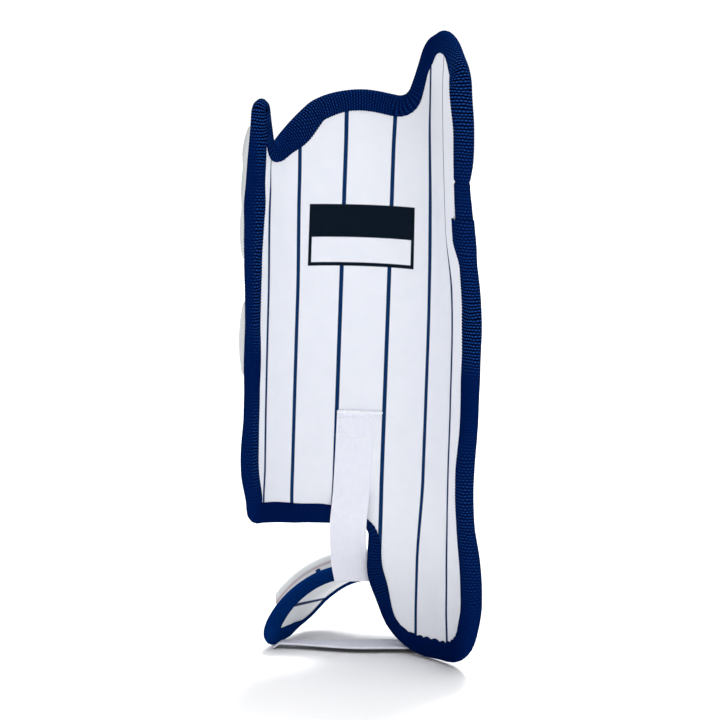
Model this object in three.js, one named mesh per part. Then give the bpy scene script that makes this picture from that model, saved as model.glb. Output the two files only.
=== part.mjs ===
// Leg guard for sport. A trough-shaped shin panel stands on its ankle tongue, open towards the calf.
// A small arched foot guard hangs from it on an elastic strap and is closed under the foot by a flat strap.
// Millimetres, +Z up, +Y towards the toes, +X to the right when the guard is seen from the calf side.
import * as THREE from 'three';

// Layers of the padded panels
const LINING_THICKNESS = 2;
const SHELL_THICKNESS = 3.2;
const LAYER_GAP = 0.3;
const PANEL_THICKNESS = LINING_THICKNESS + LAYER_GAP + SHELL_THICKNESS;

// Binding tape, folded over every panel edge
const TAPE_THICKNESS = 0.9;
const TAPE_GAP = 0.35;
const TAPE_OUTER_GAP = 0.75;
const EDGE_BUILD = TAPE_GAP + TAPE_THICKNESS;
const TAPE_FOLD = 0.7;
const SHIN_FLAP = 12.5;
const TONGUE_FLAP = 8;
const TONGUE_FLANK = { s: 14, near: 8, far: 42 };
const FOOT_FLAP = 9.5;

// Shin panel: radius of the trough on each side of its middle line, and how far each wing turns, in degrees
const SHIN_SECTIONS = [
  { z: 0, leftRadius: 62, rightRadius: 73, leftTurn: 84, rightTurn: 74 },
  { z: 60, leftRadius: 62, rightRadius: 68.5, leftTurn: 84, rightTurn: 74 },
  { z: 110, leftRadius: 62.7, rightRadius: 61, leftTurn: 84, rightTurn: 74 },
  { z: 170, leftRadius: 64.4, rightRadius: 59.5, leftTurn: 84, rightTurn: 74 },
  { z: 235, leftRadius: 65.2, rightRadius: 57, leftTurn: 80, rightTurn: 74 },
  { z: 290, leftRadius: 65.3, rightRadius: 48, leftTurn: 76, rightTurn: 74 },
  { z: 330, leftRadius: 62.8, rightRadius: 43, leftTurn: 75, rightTurn: 74 },
  { z: 407, leftRadius: 56, rightRadius: 36.5, leftTurn: 74, rightTurn: 74 },
];

// Flat pattern of the shin panel, clockwise from its lower left corner.
// s runs along the lining from its middle line, and round is the radius of the corner.
const SHIN_CORNERS = [
  { s: -110, z: 100, round: 18 },
  { s: -110, z: 361, round: 7.5 },
  { s: -98, z: 360, round: 7.5 },
  { s: -75.5, z: 326.5, round: 9 },
  { s: -39, z: 361, round: 34 },
  { s: -10, z: 368, round: 90 },
  { s: 23, z: 362.5, round: 10 },
  { s: 38.5, z: 400, round: 18 },
  { s: 80, z: 408.5, round: 36 },
  { s: 110, z: 383, round: 22 },
  { s: 110, z: 38, round: 34 },
  { s: 92, z: EDGE_BUILD, round: 30 },
  { s: 30, z: EDGE_BUILD, round: 26 },
  { s: 10, z: 55, round: 50 },
  { s: 9.5, z: 84, round: 8 },
  { s: -40, z: 87, round: 60 },
];
const SHIN_COLUMNS = 42;

// Heights between which every column of the shin panel is whole
const WHOLE_LOW = 123;
const WHOLE_HIGH = 307;

// Pads moulded into the outer face of the shin shell, and the border that the tape needs clear of them
const PAD_RISE = 8;
const PAD_FOOT = 4;
const SHIN_BORDER = 14.5;
const PAD_BANDS = [
  { low: WHOLE_LOW, high: 173 },
  { low: 183, high: 240 },
  { low: 256, high: WHOLE_HIGH },
];
const PAD_FILES = [
  { from: -96, to: -48 },
  { from: -42, to: 40 },
  { from: 46, to: 96 },
];
const SINGLE_PADS = [
  { from: 46, to: 96, low: 39, high: 115 },
  { from: 46, to: 88, low: 317, high: 377 },
];

// Steps between rows in each zone of the shin panel's two layers
const LINING_ROWS = { lower: 3, upper: 3 };
const SHELL_ROWS = { lower: 3, upper: 3 };

// Elastic strap that carries the foot guard: its course down the lining and out over the lower binding
const STRAP_WIDTH = 24;
const STRAP_THICKNESS = 1.4;
const STRAP_COURSE = [
  { z: 160, centre: -2.7, back: -0.35, curl: 1, twist: 0 },
  { z: 135, centre: -3, back: -0.35, curl: 1, twist: 0 },
  { z: 111, centre: -3.5, back: -0.45, curl: 1, twist: 0 },
  { z: 103, centre: -3.8, back: -1.7, curl: 1, twist: 0 },
  { z: 85, centre: -4.9, back: -2.4, curl: 0.9, twist: 0 },
  { z: 73, centre: -4.6, back: 0.4, curl: 0.45, twist: 0.03 },
  { z: 61, centre: -3.6, back: 4.7, curl: 0.1, twist: 0.1 },
  { z: 55, centre: -2.8, back: 5.1, curl: 0, twist: 0.14 },
  { z: 44.8, centre: -0.6, back: 5.1, curl: 0, twist: 0.14 },
];
const STRAP_CELLS = 6;

// Foot guard: an arch over the instep that narrows and drops towards the toes
const FOOT_X = -0.5;
const FOOT_Y = -5;
const FOOT_HALF_WIDTH = 48.5;
const FOOT_HEIGHT = 49;
const FOOT_WIDTH_TAPER = 0.18;
const FOOT_HEIGHT_TAPER = 0.29;
const FOOT_SKEW = 0.22;
const FOOT_REACH = (FOOT_HALF_WIDTH * Math.PI) / 2;

// Flat pattern of the foot guard: s runs over the arch, z from its rear edge towards the toes
const FOOT_CORNERS = [
  { s: -FOOT_REACH, z: -15.5, round: 11 },
  { s: -FOOT_REACH, z: 20, round: 11 },
  { s: -64, z: 55, round: 25 },
  { s: -38, z: 69, round: 30 },
  { s: 0, z: 62, round: 45 },
  { s: 42, z: 57, round: 30 },
  { s: FOOT_REACH, z: 23, round: 11 },
  { s: FOOT_REACH, z: -2, round: 11 },
  { s: 36, z: 11, round: 60 },
  { s: 0, z: 15, round: 90 },
  { s: -36, z: 4.5, round: 60 },
];
const FOOT_COLUMNS = 26;
const FOOT_BORDER = 12;
const FOOT_PAD = { left: -58, right: 47, rise: 13 };
const FOOT_ROWS = 4;
const FOOT_PAD_ROWS = 5;

// Flat strap under the foot
const SOLE_STRAP_THICKNESS = 1.8;
const SOLE_STRAP_WIDTH = 20;
const SOLE_STRAP_MIDDLE = -2;
const SOLE_STRAP_SLEW = THREE.MathUtils.degToRad(9.1);
const FOOT_LIFT = SOLE_STRAP_THICKNESS + LAYER_GAP + EDGE_BUILD;

const ARC_STEPS = 10;
const COLUMN_ROOM = 2;
const TINY = 1e-6;

// Materials
const shellMaterial = new THREE.MeshStandardMaterial({ color: 0xf1f2f4, roughness: 0.55, metalness: 0 });
const liningMaterial = new THREE.MeshStandardMaterial({ color: 0xe8ebf2, roughness: 0.8, metalness: 0 });
const tapeMaterial = new THREE.MeshStandardMaterial({ color: 0x0b1f4d, roughness: 0.75, metalness: 0 });
const elasticMaterial = new THREE.MeshStandardMaterial({ color: 0xe5e7f3, roughness: 0.85, metalness: 0 });

// Value of one column of a section table at height z
function tableCurve(rows, column) {
  const heights = rows.map((row) => row.z);
  const values = rows.map((row) => row[column]);
  const curve = new THREE.CubicInterpolant(heights, values, 1);
  return (z) => curve.evaluate(z)[0];
}

const leftRadius = tableCurve(SHIN_SECTIONS, 'leftRadius');
const rightRadius = tableCurve(SHIN_SECTIONS, 'rightRadius');
const leftTurn = tableCurve(SHIN_SECTIONS, 'leftTurn');
const rightTurn = tableCurve(SHIN_SECTIONS, 'rightTurn');

// Point of the shin panel, depth millimetres out from the face of its lining
function shinPoint(s, z, depth) {
  const radius = s < 0 ? leftRadius(z) : rightRadius(z);
  const wing = THREE.MathUtils.degToRad(s < 0 ? leftTurn(z) : rightTurn(z));
  const turn = Math.min(Math.abs(s) / radius, wing);
  const straight = Math.abs(s) - radius * turn;
  const across = radius * Math.sin(turn) + straight * Math.cos(turn) + depth * Math.sin(turn);
  const back = depth * Math.cos(turn) - radius * (1 - Math.cos(turn)) - straight * Math.sin(turn);
  return new THREE.Vector3(Math.sign(s) * across, back, z);
}

// Point of the foot guard, depth millimetres out from the face of its lining
function footPoint(s, along, depth) {
  const turn = s / FOOT_HALF_WIDTH;
  const halfWidth = FOOT_HALF_WIDTH - FOOT_WIDTH_TAPER * along + depth;
  const height = FOOT_HEIGHT - FOOT_HEIGHT_TAPER * along + depth;
  const x = FOOT_X + FOOT_SKEW * along + halfWidth * Math.sin(turn);
  return new THREE.Vector3(x, FOOT_Y + along, FOOT_LIFT + height * Math.cos(turn));
}

// Closed outline through a table of corners, each rounded to an arc of its own radius
function roundedOutline(corners) {
  const path = new THREE.Path();
  corners.forEach((row, i) => {
    const corner = new THREE.Vector2(row.s, row.z);
    const before = corners.at(i - 1);
    const after = corners[(i + 1) % corners.length];
    const toBefore = new THREE.Vector2(before.s, before.z).sub(corner).normalize();
    const toAfter = new THREE.Vector2(after.s, after.z).sub(corner).normalize();
    const halfAngle = Math.acos(toBefore.dot(toAfter)) / 2;
    const inwards = toBefore.clone().add(toAfter).normalize();
    const centre = corner.clone().addScaledVector(inwards, row.round / Math.sin(halfAngle));
    const setback = row.round / Math.tan(halfAngle);
    const start = corner.clone().addScaledVector(toBefore, setback).sub(centre);
    const end = corner.clone().addScaledVector(toAfter, setback).sub(centre);
    const clockwise = toBefore.cross(toAfter) > 0;
    path.absarc(centre.x, centre.y, row.round, start.angle(), end.angle(), clockwise);
  });
  return path.getPoints(ARC_STEPS);
}

// Lowest and highest point of an outline at one place along it
function outlineSpan(outline, s) {
  const crossings = [];
  outline.forEach((a, i) => {
    const b = outline[(i + 1) % outline.length];
    if (s < Math.min(a.x, b.x) - TINY || s > Math.max(a.x, b.x) + TINY) return;
    if (Math.abs(b.x - a.x) < TINY) crossings.push(a.y, b.y);
    else crossings.push(a.y + ((s - a.x) / (b.x - a.x)) * (b.y - a.y));
  });
  return { bottom: Math.min(...crossings), top: Math.max(...crossings) };
}

// Columns across an outline, closer together where its edge is steep, with one on each of the given lines
function panelColumns(outline, count, lines) {
  const places = outline.map((point) => point.x).sort((a, b) => a - b);
  const spans = places.map((s) => outlineSpan(outline, s));
  const travelled = [0];
  for (let i = 1; i < places.length; i += 1) {
    const bottomRise = Math.abs(spans[i].bottom - spans[i - 1].bottom);
    const topRise = Math.abs(spans[i].top - spans[i - 1].top);
    const step = Math.hypot(places[i] - places[i - 1], Math.max(bottomRise, topRise));
    travelled.push(travelled[i - 1] + step);
  }
  const placeAt = new THREE.LinearInterpolant(travelled, places, 1);
  const even = spaced(0, travelled.at(-1), count).map((distance) => placeAt.evaluate(distance)[0]);
  const clear = even.filter((s) => lines.every((line) => Math.abs(s - line) > COLUMN_ROOM));
  const chosen = [...clear, ...lines].sort((a, b) => a - b);
  return chosen.map((s) => ({ s, ...outlineSpan(outline, s) }));
}

// Evenly spaced values, both ends included
function spaced(from, to, steps) {
  return Array.from({ length: steps + 1 }, (_, i) => from + ((to - from) * i) / steps);
}

// Closed solid between two faces that are grids of points with the same size
function gridSolid(nearFace, farFace) {
  const columns = nearFace.length;
  const rows = nearFace[0].length;
  const near = (i, j) => i * rows + j;
  const far = (i, j) => (columns + i) * rows + j;
  const last = { i: columns - 1, j: rows - 1 };
  const triangles = [];
  const quad = (a, b, c, d) => triangles.push([a, b, c], [a, c, d]);
  for (let i = 0; i < last.i; i += 1) {
    for (let j = 0; j < last.j; j += 1) {
      quad(near(i, j), near(i + 1, j), near(i + 1, j + 1), near(i, j + 1));
      quad(far(i, j), far(i, j + 1), far(i + 1, j + 1), far(i + 1, j));
    }
  }
  for (let i = 0; i < last.i; i += 1) {
    quad(near(i, 0), far(i, 0), far(i + 1, 0), near(i + 1, 0));
    quad(near(i, last.j), near(i + 1, last.j), far(i + 1, last.j), far(i, last.j));
  }
  for (let j = 0; j < last.j; j += 1) {
    quad(near(0, j), near(0, j + 1), far(0, j + 1), far(0, j));
    quad(near(last.i, j), far(last.i, j), far(last.i, j + 1), near(last.i, j + 1));
  }
  return closedGeometry([...nearFace.flat(), ...farFace.flat()], triangles);
}

// Tape swept round a closed loop of stations, with a C-shaped section that wraps the panel's edge
function tapeLoop(stations, flapAt, place) {
  const outside = -EDGE_BUILD;
  const farSide = PANEL_THICKNESS + TAPE_OUTER_GAP + TAPE_THICKNESS;
  const sectionAt = (flap) => [
    { inset: flap, depth: outside },
    { inset: TAPE_FOLD, depth: outside },
    { inset: outside, depth: TAPE_FOLD },
    { inset: outside, depth: PANEL_THICKNESS - TAPE_FOLD },
    { inset: TAPE_FOLD, depth: farSide },
    { inset: flap, depth: farSide },
    { inset: flap, depth: farSide - TAPE_THICKNESS },
    { inset: -TAPE_GAP, depth: farSide - TAPE_THICKNESS },
    { inset: -TAPE_GAP, depth: -TAPE_GAP },
    { inset: flap, depth: -TAPE_GAP },
  ];
  const points = stations.flatMap((station) =>
    sectionAt(flapAt(station.spot)).map(({ inset, depth }) => {
      const spot = station.spot.clone().addScaledVector(station.inwards, inset);
      return place(spot.x, spot.y, depth);
    }),
  );
  const triangles = [];
  const sides = points.length / stations.length;
  stations.forEach((_, i) => {
    const next = (i + 1) % stations.length;
    for (let j = 0; j < sides; j += 1) {
      const k = (j + 1) % sides;
      triangles.push([i * sides + j, next * sides + j, next * sides + k]);
      triangles.push([i * sides + j, next * sides + k, i * sides + k]);
    }
  });
  return closedGeometry(points, triangles);
}

// Geometry from points and triangles, turned so that its faces point out
function closedGeometry(points, triangles) {
  const volume = triangles.reduce((sum, [a, b, c]) => {
    const edge = new THREE.Vector3().crossVectors(points[b], points[c]);
    return sum + points[a].dot(edge);
  }, 0);
  const order = volume > 0 ? triangles : triangles.map(([a, b, c]) => [a, c, b]);
  const geometry = new THREE.BufferGeometry().setFromPoints(points);
  geometry.setIndex(order.flat());
  geometry.computeVertexNormals();
  return geometry;
}

// Stations round a panel's edge, clockwise from its upper left corner, with the way in from each
function edgeStations(columns, heights) {
  const first = columns[0];
  const last = columns.at(-1);
  const top = columns.map((column) => new THREE.Vector2(column.s, column.top));
  const bottom = columns.map((column) => new THREE.Vector2(column.s, column.bottom)).reverse();
  const side = (column) => heights(column).slice(1, -1).map((z) => new THREE.Vector2(column.s, z));
  const spots = [...top, ...side(last).reverse(), ...bottom, ...side(first)];
  return spots.map((spot, i) => {
    const along = spots[(i + 1) % spots.length].clone().sub(spots.at(i - 1)).normalize();
    return { spot, inwards: new THREE.Vector2(along.y, -along.x) };
  });
}

// Height of one raised pad, zero at its sides and nearly level in its middle
function padShape(value, from, to) {
  if (from >= to) return 0;
  const share = (2 * value - from - to) / (to - from);
  return Math.max(1 - share ** 4, 0);
}

// Rise of the moulded pads above the outer face of the shin shell
function shinPadRise(column, z) {
  const bandPads = PAD_BANDS.flatMap((band) => PAD_FILES.map((file) => ({ ...band, ...file })));
  const shapes = [...bandPads, ...SINGLE_PADS].map(
    (pad) => padShape(z, pad.low, pad.high) * padShape(column.s, pad.from, pad.to),
  );
  return PAD_RISE * Math.max(...shapes);
}

// Rise of the single moulded pad over the instep
function footPadRise(column, along) {
  const lengthwise = padShape(along, column.bottom + FOOT_BORDER, column.top - FOOT_BORDER);
  return FOOT_PAD.rise * lengthwise * padShape(column.s, FOOT_PAD.left, FOOT_PAD.right);
}

// One layer of a panel between two depths, with an optional rise on its outer face
function panelLayer(columns, heights, place, innerDepth, outerDepth, rise = () => 0) {
  const face = (depthAt) =>
    columns.map((column) => heights(column).map((z) => place(column.s, z, depthAt(column, z))));
  const inner = face(() => innerDepth);
  const outer = face((column, z) => outerDepth + rise(column, z));
  return gridSolid(inner, outer);
}

// Heights of the lining's rows in one column of the shin panel
function liningHeights(column) {
  const lower = spaced(column.bottom, WHOLE_LOW, LINING_ROWS.lower);
  const middle = PAD_BANDS.flatMap(({ low, high }) => [low, high]).slice(1, -1);
  const upper = spaced(WHOLE_HIGH, column.top, LINING_ROWS.upper);
  return [...lower, ...middle, ...upper];
}

// Heights of the shell's rows, which follow the borders, pads and grooves
function shellHeights(column) {
  const border = Math.min(SHIN_BORDER, (WHOLE_LOW - column.bottom) / 2);
  const lower = [column.bottom, ...spaced(column.bottom + border, WHOLE_LOW, SHELL_ROWS.lower)];
  const pads = PAD_BANDS.flatMap(({ low, high }) => [low, low + PAD_FOOT, high - PAD_FOOT, high]);
  const middle = pads.slice(1, -1);
  const upper = [...spaced(WHOLE_HIGH, column.top - SHIN_BORDER, SHELL_ROWS.upper), column.top];
  return [...lower, ...middle, ...upper];
}

// The three layers of a panel, each a part of its own
function panel(name, columns, rows, place, rise, flapAt) {
  const lining = panelLayer(columns, rows.lining, place, 0, LINING_THICKNESS);
  const shell = panelLayer(columns, rows.shell, place, LINING_THICKNESS + LAYER_GAP, PANEL_THICKNESS, rise);
  const binding = tapeLoop(edgeStations(columns, rows.lining), flapAt, place);
  return [
    part(`${name}_lining`, lining, liningMaterial),
    part(`${name}_shell`, shell, shellMaterial),
    part(`${name}_binding`, binding, tapeMaterial),
  ];
}

// Width of the shin tape's flaps, narrower on the inner flank of the tongue
function shinFlap(spot) {
  if (spot.y > WHOLE_LOW) return SHIN_FLAP;
  const distance = Math.abs(spot.x - TONGUE_FLANK.s);
  const share = THREE.MathUtils.smoothstep(distance, TONGUE_FLANK.near, TONGUE_FLANK.far);
  return THREE.MathUtils.lerp(TONGUE_FLAP, SHIN_FLAP, share);
}

function shinPanel() {
  const padLines = PAD_FILES.flatMap((file) => [file.from, file.to]);
  const columns = panelColumns(roundedOutline(SHIN_CORNERS), SHIN_COLUMNS, padLines);
  const rows = { lining: liningHeights, shell: shellHeights };
  return panel('shin', columns, rows, shinPoint, shinPadRise, shinFlap);
}

function footGuard() {
  const padLines = [FOOT_PAD.left, FOOT_PAD.right];
  const columns = panelColumns(roundedOutline(FOOT_CORNERS), FOOT_COLUMNS, padLines);
  const padded = (column) => {
    const border = Math.min(FOOT_BORDER, (column.top - column.bottom) / 3);
    return spaced(column.bottom + border, column.top - border, FOOT_PAD_ROWS);
  };
  const rows = {
    lining: (column) => spaced(column.bottom, column.top, FOOT_ROWS),
    shell: (column) => [column.bottom, ...padded(column), column.top],
  };
  return panel('foot', columns, rows, footPoint, footPadRise, () => FOOT_FLAP);
}

// Elastic strap, curled to the lining where it is sewn and flat where it hangs
function connectorStrap() {
  const across = spaced(-STRAP_WIDTH / 2, STRAP_WIDTH / 2, STRAP_CELLS);
  const face = (nearer) =>
    STRAP_COURSE.map((row) =>
      across.map((offset) => {
        const x = row.centre + offset;
        const y = shinPoint(x, row.z, 0).y * row.curl + row.twist * offset + row.back - nearer;
        return new THREE.Vector3(x, y, row.z);
      }),
    );
  return part('connector_strap', gridSolid(face(STRAP_THICKNESS), face(0)), elasticMaterial);
}

// Flat strap on the floor under the two ends of the foot guard
function underfootStrap() {
  const length = 2 * FOOT_HALF_WIDTH + PANEL_THICKNESS;
  const geometry = new THREE.BoxGeometry(length, SOLE_STRAP_WIDTH, SOLE_STRAP_THICKNESS);
  const strap = part('underfoot_strap', geometry, elasticMaterial);
  strap.position.set(FOOT_X, SOLE_STRAP_MIDDLE, SOLE_STRAP_THICKNESS / 2);
  strap.rotation.z = SOLE_STRAP_SLEW;
  return strap;
}

function part(name, geometry, material) {
  const mesh = new THREE.Mesh(geometry, material);
  mesh.name = name;
  return mesh;
}

const legGuard = new THREE.Group();
legGuard.add(...shinPanel(), connectorStrap(), ...footGuard(), underfootStrap());

// The origin is the middle of the whole guard's footprint, on the floor
const middle = new THREE.Box3().setFromObject(legGuard).getCenter(new THREE.Vector3());
legGuard.position.set(-middle.x, -middle.y, 0);

export default legGuard;
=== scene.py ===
import math
from collections import namedtuple

import bmesh
import bpy
import numpy as np
from mathutils import Matrix, Vector, noise


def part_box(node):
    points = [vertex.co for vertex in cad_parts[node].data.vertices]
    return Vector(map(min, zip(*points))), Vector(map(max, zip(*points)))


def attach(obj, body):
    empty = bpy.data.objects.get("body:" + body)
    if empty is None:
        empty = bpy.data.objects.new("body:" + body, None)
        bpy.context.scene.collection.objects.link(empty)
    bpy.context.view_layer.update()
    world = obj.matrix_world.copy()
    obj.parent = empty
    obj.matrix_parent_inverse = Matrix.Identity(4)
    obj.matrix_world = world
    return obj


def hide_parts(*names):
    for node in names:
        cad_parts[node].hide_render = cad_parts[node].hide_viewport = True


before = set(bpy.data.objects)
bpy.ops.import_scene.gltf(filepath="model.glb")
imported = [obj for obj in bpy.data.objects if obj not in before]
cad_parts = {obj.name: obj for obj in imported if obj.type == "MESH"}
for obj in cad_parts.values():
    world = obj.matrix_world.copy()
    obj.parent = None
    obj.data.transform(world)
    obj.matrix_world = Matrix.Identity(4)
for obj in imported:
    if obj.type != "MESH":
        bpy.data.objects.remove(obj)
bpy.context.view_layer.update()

MM = 0.001
BODY = "root"

# Layers of the padded panels, counted out from the face of the lining
LINING_THICKNESS = 2.0
SHELL_FACE = 2.3
PANEL_THICKNESS = 5.5
PANEL_INSET = 2.2
INNER_SPACING = 0.8
# The outer covers start this far below the panel's full thickness
COVER_SUNK = 0.2
# The shin lining swells towards the calf: how far, and from and to a distance from the panel's edge
LINING_SWELL = {"rise": 1.1, "start": 9, "end": 34}

# Shin panel: radius of the trough on each side of its middle line, and how far each wing turns, in degrees
SHIN_SECTIONS = {
    "z": (0, 60, 110, 170, 235, 290, 330, 407),
    "left_radius": (62, 62, 62.7, 64.4, 65.2, 65.3, 62.8, 56),
    "right_radius": (73, 68.5, 61, 59.5, 57, 48, 43, 36.5),
    "left_turn": (84, 84, 84, 84, 80, 76, 75, 74),
    "right_turn": (74, 74, 74, 74, 74, 74, 74, 74),
}

# Flat pattern of the shin panel, clockwise from its lower left corner: place along the lining, height and
# corner radius
Corner = namedtuple("Corner", "s z round")
SHIN_CORNERS = (
    Corner(-110, 97.0, 36),
    Corner(-110, 361, 7.5),
    Corner(-98, 360, 7.5),
    Corner(-75.5, 328, 10),
    Corner(-38, 358.5, 26),
    Corner(-14, 369, 70),
    Corner(23.8, 362.5, 10),
    Corner(39.2, 400, 18),
    Corner(80, 408.5, 36),
    Corner(110, 383, 22),
    Corner(111, 42, 38),
    Corner(93, 4.5, 40),
    Corner(30.4, 0.6, 37),
    Corner(9.2, 50, 40),
    Corner(9.5, 84, 8),
    Corner(-40, 87, 60),
)
SHIN_GRID = {"columns": 150, "lining_rows": 150, "shell_rows": 200}

# Pads moulded into the outer face: the share by which their ends are lower, the width of their flanks, the
# radius of their corners, and what each millimetre in from the edge adds
Pad = namedtuple("Pad", "left right low high rise")
PAD_RISE = 8.0
LEFT_PAD_RISE = (3.5, 8.0, 9.4)
PAD_DOME = 0.45
PAD_FLANK = 6.0
PAD_ROUND = 9.0
PAD_CROWN = 0.02
PAD_FILES = ((-99, -47), (-43, 41), (45, 98))
PAD_BANDS = ((123, 173), (183, 240), (256, 307))
SHIN_PADS = tuple(
    Pad(*file, *band, left_rise if file == PAD_FILES[0] else PAD_RISE)
    for band, left_rise in zip(PAD_BANDS, LEFT_PAD_RISE)
    for file in PAD_FILES
) + (
    Pad(45, 97, 27, 114, PAD_RISE),
    Pad(45, 90, 320, 385, PAD_RISE),
    Pad(-99, -90, 307, 348, 9.6),
    Pad(-99, -90, 278, 342, 9.0),
)

# Foot guard: an arch over the instep that narrows and drops towards the toes
FOOT_X = -0.5
FOOT_Y = -5.0
FOOT_LIFT = 3.35
FOOT_HALF_WIDTH = 48.5
FOOT_HEIGHT = 49.0
FOOT_WIDTH_TAPER = 0.18
FOOT_HEIGHT_TAPER = 0.275
FOOT_SKEW = 0.22
FOOT_REACH = FOOT_HALF_WIDTH * math.pi / 2
FOOT_CORNERS = (
    Corner(-FOOT_REACH, -15.5, 11),
    Corner(-FOOT_REACH, 20, 11),
    Corner(-64, 55, 25),
    Corner(-38, 69, 30),
    Corner(0, 62, 45),
    Corner(42, 57, 30),
    Corner(FOOT_REACH, 23, 11),
    Corner(FOOT_REACH, -2, 11),
    Corner(36, 11, 60),
    Corner(0, 15, 90),
    Corner(-36, 4.5, 60),
)
FOOT_GRID = {"columns": 110, "lining_rows": 40, "shell_rows": 60}
FOOT_PAD = {"left": -62.0, "right": 49.0, "rise": 13.0, "border": 11.5, "flank": 11.0}

# Binding tape: its section as a share of the flap, an inset from the panel's edge, and a depth
Fold = namedtuple("Fold", "share inset depth ribbed")
TAPE_SECTION = (
    Fold(1.00, 0.0, -0.45, 0.6),
    Fold(0.94, 0.0, -1.00, 1),
    Fold(0.75, 0.0, -1.65, 1),
    Fold(0.50, 0.0, -1.95, 1),
    Fold(0.28, 0.0, -1.75, 1),
    Fold(0.10, 0.0, -1.05, 1),
    Fold(0.00, 0.0, -0.05, 1),
    Fold(0.00, -0.9, 1.15, 1),
    Fold(0.00, -1.25, 2.75, 1),
    Fold(0.00, -0.9, 4.35, 1),
    Fold(0.00, 0.0, 5.55, 1),
    Fold(0.10, 0.0, 6.55, 1),
    Fold(0.28, 0.0, 7.15, 1),
    Fold(0.50, 0.0, 7.25, 1),
    Fold(0.75, 0.0, 6.95, 1),
    Fold(0.94, 0.0, 6.45, 1),
    Fold(1.00, 0.0, 6.00, 0.6),
    Fold(1.00, 0.0, 5.65, 0),
    Fold(0.30, 0.0, 5.75, 0),
    Fold(0.00, 0.9, 5.00, 0),
    Fold(0.00, 0.5, 2.75, 0),
    Fold(0.00, 0.9, 0.50, 0),
    Fold(0.30, 0.0, -0.25, 0),
    Fold(1.00, 0.0, -0.15, 0),
)
SHIN_FLAP = 12.5
TONGUE_FLAP = 8.0
FOOT_FLAP = 9.5
MOST_FLAP = 20.0
# Share of the free room that a flap may take, and how many stations its width is averaged over
FREE_SHARE = 0.97
FLAP_WINDOW = 15
SHIN_TAPE_START = (110, 292)
FOOT_TAPE_START = (FOOT_REACH, 10)
# The shin's flaps narrow on the tongue's inner flank: its place, and from and to a distance from it
TONGUE_FLANK = {"s": 14, "start": 8, "end": 42}
# Along the toes most of the foot tape's flap is turned to the outside: its share, and from and to a place
TURNED_OUT = {"share": 0.72, "start": 20, "end": 42}
TAPE_MIDDLE = PANEL_THICKNESS / 2
# The roll swells from this thickness, and the sewn edge of a flap holds back this share of the swell
SWELL_UNIT = 4.6
SEWN_HOLD = 0.6
# Ribs across the tape, drawn as coarse as they need to show, the threads that float over them, and the small
# loops that they leave at its edges
RIB_PITCH = 1.97
RIB_HEIGHT = 0.16
RIB_WANDER = 2.4
FLOAT_PITCH = 2.1
TAPE_LOOPS = 0.3
# Where the roll is flattened, the ribs behind the face towards the calf keep this share of their height and
# of their painted highlight
FLATTENED_RIBS = 0.2
STATION_PITCH = RIB_PITCH / 4
# Slow waves in the flap's width and in the tape's thickness: length, depth and row of the noise
Wave = namedtuple("Wave", "length depth row")
TAPE_SWAY = Wave(30.0, 0.7, 0.3)
TAPE_UNEVEN = Wave(18.0, 0.25, 4.1)
# Extra thickness of the tape's roll, towards and away from the calf, up each long edge
RIGHT_SWELL = {
    "z": (0, 40, 75, 100, 134, 165, 200, 232, 264, 300, 315, 326, 345, 372, 395),
    "near": (1.2, 0.8, 0.8, 1.3, 1.9, -0.4, -0.7, -0.7, 0, 1.2, 1.2, 1.0, 0.8, 2.6, 0.4),
    "far": (1.2, 3.0, 3.1, 0.6, 0, 1.6, 2.0, 2.5, 1.2, -0.4, -1.2, 1.2, 2.4, 1.2, 0),
}
LEFT_SWELL = {
    "z": (85, 102, 134, 167, 199, 232, 264, 284, 297, 310, 340),
    "near": (0.6, 2.7, 0, 0.5, 1.1, 0.5, 1.5, 2.5, 3.0, 1.9, 0.6),
    "far": (0, -1.2, 1.8, 0, 0, -0.6, 0.2, 0.4, 1.0, 0.6, 0),
}
# How much the tape's ribs stand out and how much painted highlight their crests carry, by height up each
# long edge and by place along the top
RIGHT_RIBS_AND_HIGHLIGHT = {
    "z": (
        *(0, 32.5, 51.5, 71.5, 97.5, 116.5, 136.5, 155.5, 175.5, 194.5, 201.5, 214.5),
        *(240.5, 259.5, 279.5, 295.5, 311.5, 321.5, 337.5, 357.5, 383.5, 396.5, 402.5),
    ),
    "ribs_and_highlight": (
        *(0, 0, 0.2, 0.35, 0.5, 0.6, 0.45, 0.2, 0, 0.1, 0.6, 1),
        *(0.9, 0.6, 0.5, 0.45, 0.3, 0.45, 0.7, 1, 1, 0.8, 0.5),
    ),
}
LEFT_RIBS_AND_HIGHLIGHT = {
    "z": (
        *(90, 108, 118, 131, 147, 164, 177, 186, 201, 212),
        *(229, 248, 268, 287, 303, 313, 320, 333, 359, 372),
    ),
    "ribs_and_highlight": (
        *(0, 0, 0.3, 0.8, 0.9, 0.7, 0.25, 0, 0.1, 0.5),
        *(0.9, 0.95, 0.95, 0.85, 0.6, 0.2, 0.6, 0.95, 1, 0.8),
    ),
}
TOP_RIBS_AND_HIGHLIGHT = {
    "z": (-90, -70, -45, -20, 5, 25, 40, 60, 85),
    "ribs_and_highlight": (0.8, 0.35, 0.8, 0.6, 0.4, 0.3, 0.05, 0.1, 0.4),
}
# Where the swell and the ribs with their painted highlight of each edge begin and are full, and where ribs
# and painted highlight show on the tongue's flank
SWELL_EDGES = {"right": (80, 106), "left": (92, 108)}
RIB_EDGES = {"right": (84, 104), "left": (92, 106), "top": (305, 320)}
FLANK_RIBS_AND_HIGHLIGHT = {"ribs_and_highlight": 0.35, "low": (20, 45), "high": (78, 90), "side": (30, 60)}
# The left roll is flattened below the first height and round above the second
LEFT_FLATTENED = (330, 350)
# Places where the tape's flap is folded wider or narrower: middle, reach and extra width
Spread = namedtuple("Spread", "s z reach extra")
WIDE_FLAPS = (
    Spread(42, 399, 19, 8.0),
    Spread(98, 376, 32, 5.0),
    Spread(-54, 347, 22, 4.0),
    Spread(-77, 327, 13, -2.5),
    Spread(12, 46, 24, 2.6),
    Spread(8, 84, 17, -3.6),
)
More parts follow.
